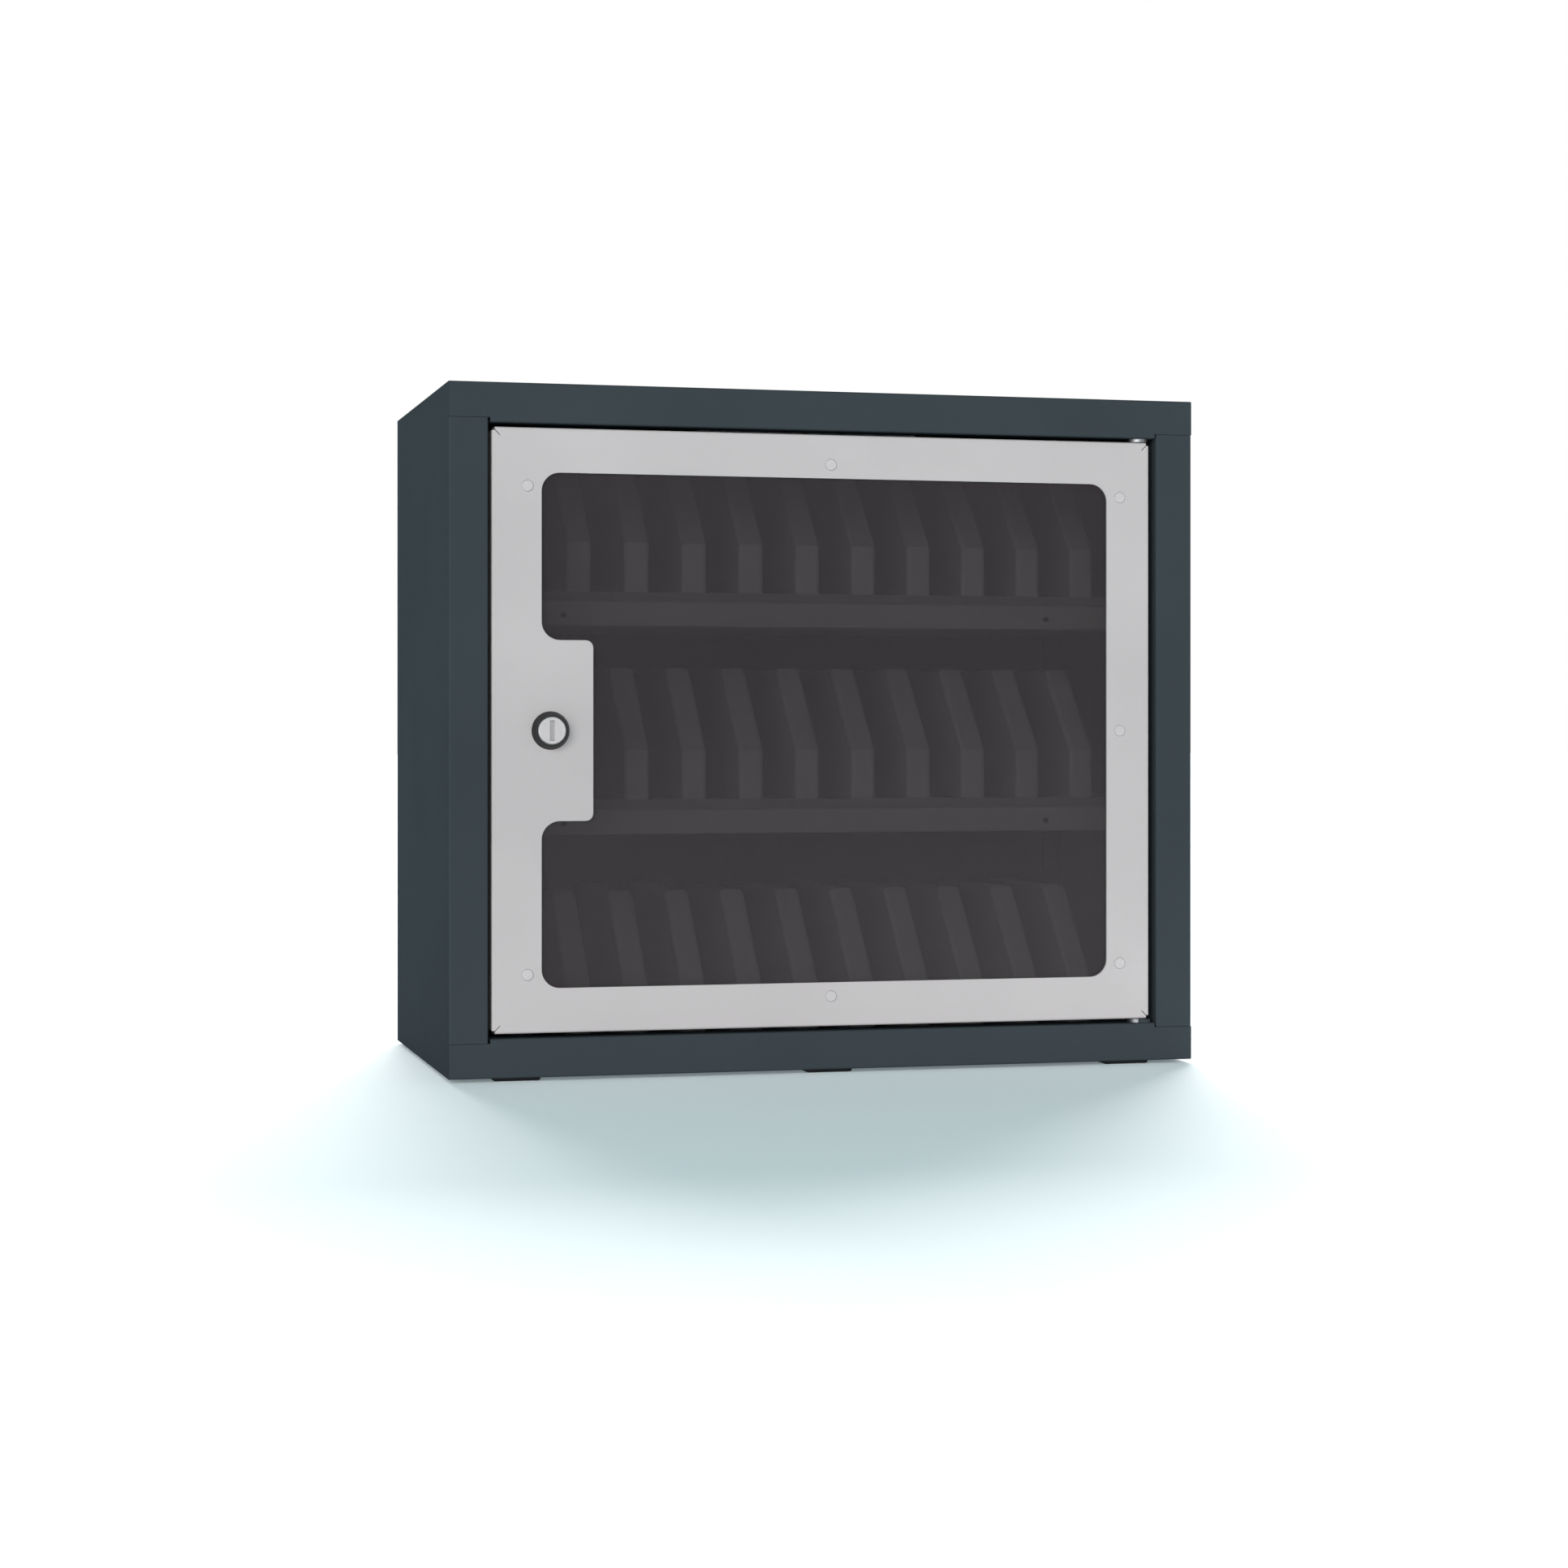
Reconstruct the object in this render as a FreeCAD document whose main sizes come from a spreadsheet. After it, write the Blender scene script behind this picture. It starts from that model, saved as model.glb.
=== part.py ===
import FreeCAD, Part
import math
import os
import re

import Sketcher

# Phone charging cabinet: a folded steel case with three rows of bays behind a locked, windowed door.
# Frame: +Z up, the door faces -Y, origin at the middle of the bounding box's bottom face. Millimetres.

Vector = FreeCAD.Vector

DIMENSIONS = {
    # case
    "cab_width": 510, "cab_height": 450, "cab_depth": 265, "sheet": 1.5, "bend_radius": 1.5,
    "side_flange": 25.5, "top_flange": 26, "bottom_flange": 25.6, "flange_return": 20,
    "relief_gap": 1.2, "relief_height": 3, "corner_seam": 0.18, "rear_flange": 15,
    "overrun": 1,
    # feet
    "foot_half_width": 15.5, "foot_half_depth": 14, "foot_height": 2.5, "foot_spacing": 210,
    "foot_inset": 20, "foot_chamfer": 1,
    # door frame and window
    "door_recess": 2, "door_return": 15, "door_gap_left": 2.5, "door_gap_right": 4.5,
    "door_gap_top": 2.7, "door_gap_bottom": 2.9, "door_bend": 1.6, "door_notch": 2.2,
    "door_slit_skew": 0.3, "door_slit_overlap": 0.4, "door_slit_reach": 5.2,
    "window_half_width": 194.4, "window_low": 57.6, "window_high": 392.3, "window_radius": 12,
    "tab_width": 34, "tab_half_height": 58.8, "tab_radius": 5,
    "pane_thick": 3, "pane_half_width": 212, "pane_low": 40, "pane_high": 409.6,
    "pane_notch_reach": 168, "pane_notch_half_height": 53, "pane_notch_radius": 6,
    # rivets that hold the pane
    "rivet_radius": 3.9, "rivet_face_radius": 3.4, "rivet_rise": 0.8, "rivet_shank": 1.6,
    "rivet_side": 203.7, "rivet_low": 66.5, "rivet_high": 383.4, "rivet_centre_low": 48.4,
    "rivet_centre_high": 401.3,
    "washer_radius": 5, "washer_thick": 1,
    # hinges
    "pivot_across": 219, "pivot_depth": 9, "pin_radius": 3, "pin_clearance": 0.05, "pin_above": 4.5,
    "pin_below": 9, "bush_radius": 4.4, "bush_neck": 3.6, "bush_depth": 6,
    "hinge_washer_radius": 6.8, "hinge_washer_gap": 0.4,
    "hinge_tab_radius": 5.3, "hinge_tab_across": 221.6, "hinge_tab_depth": 5.6, "door_stop_gap": 0.4,
    "stop_low": 110, "stop_high": 340, "stop_half": 9,
    # cam lock
    "lock_across": 188.6, "lock_level": 224.8, "lock_reach": 5, "bezel_radius": 12.5,
    "bezel_face_radius": 10.4, "bezel_rise": 6, "plug_radius": 9.2, "barrel_radius": 11,
    "barrel_depth": 20, "plug_clearance": 0.05, "key_width": 3, "key_height": 13, "key_depth": 1.8,
    "plug_chamfer": 0.6,
    "nut_corner_radius": 16.2, "nut_thick": 5, "cam_length": 46, "cam_width": 15, "cam_thick": 2.5,
    "cam_square": 7, "cam_start": 22.2, "cam_tip_round": 4, "cam_head_round": 5,
    "cam_screw_radius": 5.5, "cam_screw_head": 2.5, "cam_slot_half": 0.5, "cam_slot_depth": 1,
    # shelves and plinths
    "upper_shelf": 294.9, "middle_shelf": 155.15, "shelf_front": 57.5, "shelf_back": 250,
    "lip_height": 16.5, "lip_screw_across": 170, "lip_screw_level": 7.3, "lip_screw_radius": 1.9,
    "lip_screw_head": 0.7, "lip_screw_shank": 1, "lip_screw_length": 8,
    "plinth_front": 62, "plinth_back": 246, "plinth_rise": 23.3, "lower_plinth_rise": 16.5,
    "plinth_sheet": 1.2, "plinth_end_gap": 0.5,
    # dividers
    "bay_pitch": 39.66, "divider_width": 17.2, "divider_front": 62.6, "divider_back": 244,
    "divider_knee": 33.3, "divider_rise": 89.9, "divider_run": 54.4, "lower_divider_rise": 97.3,
    "lower_divider_run": 58.4, "divider_wall": 2, "divider_round": 3,
    "hollow_top_set": 0.86, "hollow_knee_set": 0.8,
    # charging electronics
    "port_width": 14.5, "port_depth": 12, "port_height": 7.6, "port_back": 244, "port_wall": 0.9,
    "port_floor": 2,
    "tongue_width": 10, "tongue_height": 1.8, "tongue_level": 3.9,
    "board_half_length": 226, "board_front": 80, "board_back": 226, "board_thick": 1.6,
    "board_level": 4, "coil_size": 11, "coil_height": 5, "coil_back": 198.5,
    "post_radius": 3, "post_inset": 8, "post_end_inset": 12,
    # shelf supports
    "bracket_leg": 12, "bracket_front": 70, "bracket_back": 160,
    # power supply and inlet
    "supply_left": -60, "supply_right": 100, "supply_front": 140, "supply_back": 240,
    "supply_height": 31, "supply_screw_inset": 14, "vent_start": 20, "vent_pitch": 14, "vent_width": 3,
    "vent_depth": 2, "vent_low": 7, "vent_high": 8,
    "inlet_depth": 215, "inlet_level": 433, "inlet_width": 27.5, "inlet_height": 20, "inlet_reach": 25,
    "inlet_ear_width": 50, "inlet_ear_height": 23, "inlet_ear_thick": 3, "inlet_screw_pitch": 40,
    "inlet_wall": 2, "inlet_pin_long": 6, "inlet_pin_thick": 2, "inlet_pin_pitch": 7,
    "inlet_pin_lift": 2, "inlet_pin_set_back": 3, "inlet_recess": 18,
    # fixings
    "flat_screw_radius": 1.5, "flat_screw_head": 2.8, "flat_screw_sink": 1.4, "flat_screw_length": 6,
    "drive_reach": 1.6, "drive_half": 0.35, "drive_depth": 0.8, "inlet_drive_reach": 1.2,
    "wall_hole_radius": 4, "wall_hole_across": 230, "wall_hole_low": 60, "wall_hole_high": 400,
    "back_screw_across": 246, "back_screw_low": 40, "back_screw_middle": 225, "back_screw_high": 410,
    "back_screw_edge": 9, "back_screw_inner": 120,
}
COLUMNS = 11
VENTS = 9

doc = FreeCAD.newDocument("phone_charging_cabinet")
dims = doc.addObject("Spreadsheet::Sheet", "dims")
for row, (alias, number) in enumerate(DIMENSIONS.items(), start=1):
    dims.set(f"A{row}", alias)
    dims.set(f"B{row}", str(number))
    dims.setAlias(f"B{row}", alias)
doc.recompute()

nodes = []


# ---- formulas ----------------------------------------------------------------------------------

def full(formula):
    """The formula with the sheet's name put before each of its aliases."""
    return re.sub(r"[a-z]\w*", lambda word: f"dims.{word.group()}", str(formula))


def value(formula):
    """What a formula works out to, in millimetres."""
    return float(dims.evalExpression(full(formula)))


def depth(formula):
    """Place along Y of a point that lies this far behind the case's front face."""
    return f"((lock_reach - cab_depth) / 2 + {formula})"


def level(formula):
    """Place along Z of a point that lies this far above the case's bottom sheet."""
    return f"(foot_height + {formula})"


# ---- sketched features -------------------------------------------------------------------------

def new_body(name):
    body = doc.addObject("PartDesign::Body", name)
    body.AllowCompound = True
    return body


def new_sketch(body, role, offset="0"):
    """A sketch on one of the body's origin planes, moved along the plane's normal."""
    sketch = body.newObject("Sketcher::SketchObject", "Sketch")
    plane = next(item for item in body.Origin.OriginFeatures if item.Role == role)
    sketch.AttachmentSupport = [(plane, "")]
    sketch.MapMode = "FlatFace"
    sketch.setExpression("AttachmentOffset.Base.z", full(offset))
    return sketch


def front_sketch(body, place):
    """A sketch seen from the front, X across and Z up, at a place along Y. Its normal is -Y."""
    return new_sketch(body, "XZ_Plane", f"-{place}")


def plan_sketch(body, place="0"):
    """A sketch seen from above, X across and Y up, at a place along Z."""
    return new_sketch(body, "XY_Plane", place)


def side_sketch(body, place="0"):
    """A sketch seen from the right, Y across and Z up, at a place along X."""
    return new_sketch(body, "YZ_Plane", place)


def bind(sketch, kind, *references, formula):
    """A driving constraint whose number follows a formula."""
    index = sketch.addConstraint(Sketcher.Constraint(kind, *references, value(formula)))
    sketch.setExpression(f"Constraints[{index}]", full(formula))


def bind_point(sketch, geometry, end, point):
    bind(sketch, "DistanceX", -1, 1, geometry, end, formula=point[0])
    bind(sketch, "DistanceY", -1, 1, geometry, end, formula=point[1])


def tangent_point(corner, other, radius):
    """Where the arc that rounds a corner meets the side that leads to another corner."""
    across, up = corner[0], corner[1]
    if abs(value(other[0]) - value(across)) < 1e-6:
        sign = "+" if value(other[1]) > value(up) else "-"
        return across, f"({up} {sign} {radius})"
    sign = "+" if value(other[0]) > value(across) else "-"
    return f"({across} {sign} {radius})", up


def outline(sketch, corners):
    """A closed outline, every point bound. A corner's third value is the radius that rounds it."""
    ends = []
    for index, corner in enumerate(corners):
        before, after = corners[index - 1], corners[(index + 1) % len(corners)]
        if len(corner) == 3:
            ends.append((tangent_point(corner, before, corner[2]), tangent_point(corner, after, corner[2])))
        else:
            ends.append((corner, corner))
    points = [tuple(Vector(value(a), value(b), 0) for a, b in pair) for pair in ends]
    sides = []
    for index in range(len(corners)):
        side = Part.LineSegment(points[index][1], points[(index + 1) % len(corners)][0])
        sides.append(sketch.addGeometry(side, False))
    for index, corner in enumerate(corners):
        arriving, leaving = sides[index - 1], sides[index]
        bind_point(sketch, leaving, 1, ends[index][1])
        if len(corner) == 2:
            sketch.addConstraint(Sketcher.Constraint("Coincident", arriving, 2, leaving, 1))
            continue
        bind_point(sketch, arriving, 2, ends[index][0])
        add_corner_arc(sketch, corner, points[index], arriving, leaving)


def add_corner_arc(sketch, corner, ends, arriving, leaving):
    """The arc of a rounded corner between its two sides."""
    first, last = ends
    centre = first + last - Vector(value(corner[0]), value(corner[1]), 0)
    start = math.atan2(first.y - centre.y, first.x - centre.x)
    finish = math.atan2(last.y - centre.y, last.x - centre.x)
    forward = math.sin(finish - start) > 0
    if not forward:
        start, finish = finish, start
    circle = Part.Circle(centre, Vector(0, 0, 1), value(corner[2]))
    arc = sketch.addGeometry(Part.ArcOfCircle(circle, start, finish), False)
    sketch.addConstraint(Sketcher.Constraint("Coincident", arriving, 2, arc, 1 if forward else 2))
    sketch.addConstraint(Sketcher.Constraint("Coincident", leaving, 1, arc, 2 if forward else 1))
    bind(sketch, "Radius", arc, formula=corner[2])


def rectangle(sketch, left, right, low, high):
    outline(sketch, [(left, low), (right, low), (right, high), (left, high)])


def circle(sketch, across, up, radius):
    round_line = Part.Circle(Vector(value(across), value(up), 0), Vector(0, 0, 1), value(radius))
    index = sketch.addGeometry(round_line, False)
    bind_point(sketch, index, 3, (across, up))
    bind(sketch, "Radius", index, formula=radius)


def pad(body, sketch, length, side="One side", reverse=False):
    feature = body.newObject("PartDesign::Pad", "Pad")
    feature.Profile = sketch
    feature.SideType = side
    feature.Reversed = reverse
    feature.setExpression("Length", full(length))
    doc.recompute()
    return feature


def pocket(body, sketch, length, side="One side", reverse=False):
    """A pocket that must take material away."""
    before = body.Shape.Volume
    feature = body.newObject("PartDesign::Pocket", "Pocket")
    feature.Profile = sketch
    feature.SideType = side
    feature.Reversed = reverse
    feature.setExpression("Length", full(length))
    doc.recompute()
    if body.Shape.Volume >= before - 1e-6:
        raise SystemExit(f"{body.Name}: {feature.Name} cuts nothing")
    return feature


def dress(body, kind, size, pick):
    """A fillet or chamfer on the edges of the tip that pick accepts."""
    base = body.Tip
    edges = [f"Edge{number}" for number, edge in enumerate(base.Shape.Edges, start=1) if pick(edge)]
    if not edges:
        raise SystemExit(f"{body.Name}: no edge to dress")
    feature = body.newObject(f"PartDesign::{kind}", kind)
    feature.Base = (base, edges)
    feature.setExpression("Radius" if kind == "Fillet" else "Size", full(size))
    doc.recompute()
    return feature


def spread(body, length, count):
    """Repeats the whole body along X, the copies standing apart."""
    feature = body.newObject("PartDesign::LinearPattern", "LinearPattern")
    feature.TransformMode = "Whole shape"
    axis = next(item for item in body.Origin.OriginFeatures if item.Role == "X_Axis")
    feature.Direction = (axis, [""])
    feature.setExpression("Length", full(length))
    feature.Occurrences = count
    body.Tip = feature
    doc.recompute()
    return feature


def runs_along(axis, **places):
    """Accepts the straight edges that run along an axis through the given places."""
    numbers = {name: value(formula) for name, formula in places.items()}

    def pick(edge):
        if edge.Curve.TypeId != "Part::GeomLine":
            return False
        if abs(abs(getattr(edge.tangentAt(edge.FirstParameter), axis)) - 1) > 1e-6:
            return False
        middle = edge.CenterOfMass
        return all(abs(getattr(middle, name) - number) < 1e-4 for name, number in numbers.items())
    return pick


# ---- primitives --------------------------------------------------------------------------------

TURNS = {
    "x": FreeCAD.Rotation(Vector(0, 1, 0), 90),
    "y": FreeCAD.Rotation(Vector(1, 0, 0), -90),
    "z": FreeCAD.Rotation(),
}


def place(item, across, back, up, axis="z"):
    item.Placement = FreeCAD.Placement(Vector(), TURNS[axis])
    for name, formula in zip("xyz", (across, back, up)):
        item.setExpression(f"Placement.Base.{name}", full(formula))
    return item


def box(left, right, front, back, low, high):
    item = doc.addObject("Part::Box", "Box")
    item.setExpression("Length", full(f"({right}) - ({left})"))
    item.setExpression("Width", full(f"({back}) - ({front})"))
    item.setExpression("Height", full(f"({high}) - ({low})"))
    return place(item, left, front, low)


def cylinder(axis, across, back, up, radius, length):
    item = doc.addObject("Part::Cylinder", "Cylinder")
    item.setExpression("Radius", full(radius))
    item.setExpression("Height", full(length))
    return place(item, across, back, up, axis)


def cone(axis, across, back, up, radius, end_radius, length):
    item = doc.addObject("Part::Cone", "Cone")
    item.setExpression("Radius1", full(radius))
    item.setExpression("Radius2", full(end_radius))
    item.setExpression("Height", full(length))
    return place(item, across, back, up, axis)


def fuse(items, name="Fusion"):
    joined = doc.addObject("Part::MultiFuse", name)
    joined.Shapes = items
    return joined


def cut(base, tools, name="Cut"):
    removed = doc.addObject("Part::Cut", name)
    removed.Base = base
    removed.Tool = tools[0] if len(tools) == 1 else fuse(tools)
    return removed


def finish(item, label):
    """Makes an object a sub-part with a name of its own."""
    item.Label = label
    nodes.append(item)
    return item


# ---- case --------------------------------------------------------------------------------------

FLAT_SCREWS = [(side, height) for side in ("-", "") for height in
               ("back_screw_low", "back_screw_middle", "back_screw_high")]
CASE_BACK = "(cab_depth - sheet)"


def side_panel(label, side):
    """One side: a sheet with a flange and return at the front and a flange at the back."""
    body = new_body(label)
    outer, inner = f"{side}cab_width / 2", f"{side}(cab_width / 2 - sheet)"
    sheet_plan = plan_sketch(body, level("sheet"))
    rectangle(sheet_plan, outer, inner, depth("sheet + corner_seam"), depth(CASE_BACK))
    pad(body, sheet_plan, "cab_height - 2 * sheet")

    opening = f"{side}(cab_width / 2 - side_flange)"
    returned = f"{side}(cab_width / 2 - side_flange + sheet)"
    low = "(bottom_flange - relief_height + corner_seam)"
    high = "(cab_height - top_flange + relief_height - corner_seam)"
    flange_plan = plan_sketch(body, level(low))
    outline(flange_plan, [
        (outer, depth("0")), (opening, depth("0")), (opening, depth("flange_return")),
        (returned, depth("flange_return")), (returned, depth("sheet")), (inner, depth("sheet")),
        (inner, depth("4 * sheet")), (outer, depth("4 * sheet")),
    ])
    pad(body, flange_plan, f"{high} - {low}")

    rear_plan = plan_sketch(body, level("rear_flange + 2 * sheet"))
    rear_inner = f"{side}(cab_width / 2 - rear_flange)"
    rectangle(rear_plan, inner, rear_inner, depth(f"{CASE_BACK} - sheet"), depth(CASE_BACK))
    pad(body, rear_plan, "cab_height - 2 * rear_flange - 4 * sheet")

    dress(body, "Fillet", "bend_radius", runs_along("z", x=outer, y=depth("0")))
    dress(body, "Fillet", "bend_radius", runs_along("z", x=opening, y=depth("0")))

    screws = front_sketch(body, depth(CASE_BACK))
    for height in ("back_screw_low", "back_screw_middle", "back_screw_high"):
        circle(screws, f"{side}back_screw_across", level(height), "flat_screw_radius")
    pocket(body, screws, "3 * sheet", side="Symmetric")
    return body


def inlet_cutout(body):
    """The hole in the right side that the power inlet is plugged through."""
    window = side_sketch(body, "cab_width / 2")
    rectangle(window, depth("inlet_depth - inlet_width / 2"), depth("inlet_depth + inlet_width / 2"),
              level("inlet_level - inlet_height / 2"), level("inlet_level + inlet_height / 2"))
    pocket(body, window, "4 * sheet", side="Symmetric")
    screws = side_sketch(body, "cab_width / 2")
    for sign in "-+":
        circle(screws, depth(f"inlet_depth {sign} inlet_screw_pitch / 2"), level("inlet_level"),
               "flat_screw_radius")
    pocket(body, screws, "4 * sheet", side="Symmetric")


def end_panel(label, outer, opening, sign):
    """The top or the bottom: a sheet with a full-width front flange, its return, and a rear flange."""
    body = new_body(label)
    wide, back = "cab_width", depth(CASE_BACK)
    inner = f"({outer} {sign} sheet)"
    seam = f"({opening} {'-' if sign == '+' else '+'} relief_height)"
    side = side_sketch(body)
    outline(side, [
        (depth("0"), level(outer)), (back, level(outer)), (back, level(inner)),
        (depth("sheet"), level(inner)), (depth("sheet"), level(seam)), (depth("0"), level(seam)),
    ])
    pad(body, side, wide, side="Symmetric")

    folded = f"({opening} {'-' if sign == '+' else '+'} sheet)"
    flange = side_sketch(body)
    outline(flange, [
        (depth("0"), level(seam)), (depth("0"), level(opening)),
        (depth("flange_return"), level(opening)), (depth("flange_return"), level(folded)),
        (depth("sheet"), level(folded)), (depth("sheet"), level(seam)),
    ])
    pad(body, flange, "cab_width - 2 * side_flange - 2 * relief_gap", side="Symmetric")

    rear = side_sketch(body)
    outline(rear, [
        (back, level(inner)), (back, level(f"{outer} {sign} rear_flange")),
        (depth(f"{CASE_BACK} - sheet"), level(f"{outer} {sign} rear_flange")),
        (depth(f"{CASE_BACK} - sheet"), level(inner)),
    ])
    pad(body, rear, "cab_width - 2 * rear_flange", side="Symmetric")

    dress(body, "Fillet", "bend_radius", runs_along("x", y=depth("0"), z=level(outer)))
    dress(body, "Fillet", "bend_radius", runs_along("x", y=depth("0"), z=level(opening)))

    pins = plan_sketch(body, level(opening))
    circle(pins, "pivot_across", depth("pivot_depth"), "pin_radius")
    pocket(body, pins, "4 * sheet", side="Symmetric")

    screws = front_sketch(body, back)
    for across in ("-back_screw_inner", "back_screw_inner"):
        circle(screws, across, level(f"({outer} {sign} back_screw_edge)"), "flat_screw_radius")
    pocket(body, screws, "3 * sheet", side="Symmetric")
    return body


def supply_holes(body):
    """Holes in the top that the power supply's screws sit in."""
    holes = plan_sketch(body, level("cab_height"))
    for across, back in supply_screw_places():
        circle(holes, across, depth(f"({back})"), "flat_screw_head")
    pocket(body, holes, "3 * sheet", side="Symmetric")


def supply_screw_places():
    """The four screws that hang the power supply from the top."""
    return [(across, back)
            for across in ("(supply_left + supply_screw_inset)", "(supply_right - supply_screw_inset)")
            for back in ("supply_front + supply_screw_inset", "supply_back - supply_screw_inset")]


def back_screw_places():
    sides = [(f"{side}back_screw_across", height) for side, height in FLAT_SCREWS]
    ends = [(f"{side}back_screw_inner", height) for side in ("-", "")
            for height in ("back_screw_edge", "(cab_height - back_screw_edge)")]
    return sides + ends


def back_panel():
    plate = box("-cab_width / 2", "cab_width / 2", depth(CASE_BACK), depth("cab_depth"),
                level("0"), level("cab_height"))
    holes = [cylinder("y", f"{side}wall_hole_across", depth(f"{CASE_BACK} - sheet"), level(height),
                      "wall_hole_radius", "3 * sheet")
             for side in ("-", "") for height in ("wall_hole_low", "wall_hole_high")]
    for across, height in back_screw_places():
        holes.append(cylinder("y", across, depth(f"{CASE_BACK} - sheet"), level(height),
                              "flat_screw_radius", "3 * sheet"))
        holes.append(cone("y", across, depth("cab_depth - flat_screw_sink"), level(height),
                          "flat_screw_radius", "flat_screw_head", "flat_screw_sink"))
    return cut(plate, holes)


def back_panel_screws():
    """Countersunk screws, their heads flush with the back, each with a cross slot."""
    screws = []
    for across, height in back_screw_places():
        head = cone("y", across, depth("cab_depth - flat_screw_sink"), level(height),
                    "flat_screw_radius", "flat_screw_head", "flat_screw_sink")
        shank = cylinder("y", across, depth("cab_depth - flat_screw_length"), level(height),
                         "flat_screw_radius", "flat_screw_length - flat_screw_sink")
        screws.append(cut(fuse([shank, head]), [
            box(f"{across} - {reach}", f"{across} + {reach}", depth("cab_depth - drive_depth"),
                depth("cab_depth + overrun"), level(f"{height} - {half}"), level(f"{height} + {half}"))
            for reach, half in (("drive_reach", "drive_half"), ("drive_half", "drive_reach"))
        ]))
    return fuse(screws)


def feet():
    """Six low oblong pads in two rows under the bottom sheet."""
    body = new_body("feet")
    pads = plan_sketch(body)
    for across in ("-foot_spacing", "0", "foot_spacing"):
        for back in ("foot_inset", "cab_depth - foot_inset"):
            rectangle(pads, f"{across} - foot_half_width", f"{across} + foot_half_width",
                      depth(f"{back} - foot_half_depth"), depth(f"{back} + foot_half_depth"))
    pad(body, pads, "foot_height")
    dress(body, "Chamfer", "foot_chamfer", lambda edge: abs(edge.CenterOfMass.z) < 1e-6)
    return body


# ---- shelves -----------------------------------------------------------------------------------

INNER_HALF = "(cab_width / 2 - sheet)"


def shelf_tray(label, shelf):
    """A shelf folded up at the front into a lip and at the back into a low edge."""
    body = new_body(label)
    profile = side_sketch(body)
    floor = f"({shelf} + sheet)"
    outline(profile, [
        (depth("shelf_front"), level(shelf)), (depth("shelf_back"), level(shelf)),
        (depth("shelf_back"), level(f"({shelf} + lip_height)")),
        (depth("shelf_back - sheet"), level(f"({shelf} + lip_height)")),
        (depth("shelf_back - sheet"), level(floor)), (depth("shelf_front + sheet"), level(floor)),
        (depth("shelf_front + sheet"), level(f"({shelf} + lip_height)")),
        (depth("shelf_front"), level(f"({shelf} + lip_height)")),
    ])
    pad(body, profile, "cab_width - 2 * sheet", side="Symmetric")
    dress(body, "Fillet", "bend_radius", runs_along("x", y=depth("shelf_front"), z=level(shelf)))
    screws = front_sketch(body, depth("shelf_front"))
    for across in ("-lip_screw_across", "lip_screw_across"):
        circle(screws, across, level(f"({shelf} + lip_screw_level)"), "lip_screw_shank")
    pocket(body, screws, "3 * sheet", side="Symmetric")
    return body


def plinth(label, foot, top, screwed):
    """A channel, open below, that the dividers stand on and that covers the charging board."""
    body = new_body(label)
    profile = side_sketch(body)
    front, back, wall = "plinth_front", "plinth_back", "plinth_sheet"
    outline(profile, [
        (depth(front), level(foot)), (depth(f"{front} + {wall}"), level(foot)),
        (depth(f"{front} + {wall}"), level(f"({top} - {wall})")),
        (depth(f"{back} - {wall}"), level(f"({top} - {wall})")),
        (depth(f"{back} - {wall}"), level(foot)), (depth(back), level(foot)),
        (depth(back), level(top)), (depth(front), level(top)),
    ])
    pad(body, profile, f"2 * {INNER_HALF} - 2 * plinth_end_gap", side="Symmetric")
    if screwed:
        screws = front_sketch(body, depth(front))
        for across in ("-lip_screw_across", "lip_screw_across"):
            circle(screws, across, level(f"({screwed} + lip_screw_level)"), "lip_screw_shank")
        pocket(body, screws, f"3 * {wall}", side="Symmetric")
    return body


def lip_screws():
    """Two small round-headed screws through each shelf's lip."""
    screws = []
    for shelf in ("upper_shelf", "middle_shelf"):
        for across in ("-lip_screw_across", "lip_screw_across"):
            height = level(f"({shelf} + lip_screw_level)")
            head = cylinder("y", across, depth("shelf_front - lip_screw_head"), height,
                            "lip_screw_radius", "lip_screw_head")
            shank = cylinder("y", across, depth("shelf_front"), height, "lip_screw_shank",
                             "lip_screw_length")
            screws.append(fuse([head, shank]))
    return fuse(screws)


def shelf_supports():
    """An angle under each end of each shelf, against the side of the case."""
    angles = []
    for shelf in ("upper_shelf", "middle_shelf"):
        for side in (-1, 1):
            wall, leg = f"{side} * {INNER_HALF}", f"{side} * ({INNER_HALF} - bracket_leg)"
            web = f"{side} * ({INNER_HALF} - sheet)"
            spans = [(wall, leg, f"({shelf} - sheet)", shelf), (wall, web, f"({shelf} - bracket_leg)", shelf)]
            angles.append(fuse([
                box(*((a, b) if side < 0 else (b, a)), depth("bracket_front"), depth("bracket_back"),
                    level(low), level(high))
                for a, b, low, high in spans]))
    return fuse(angles)


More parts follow.
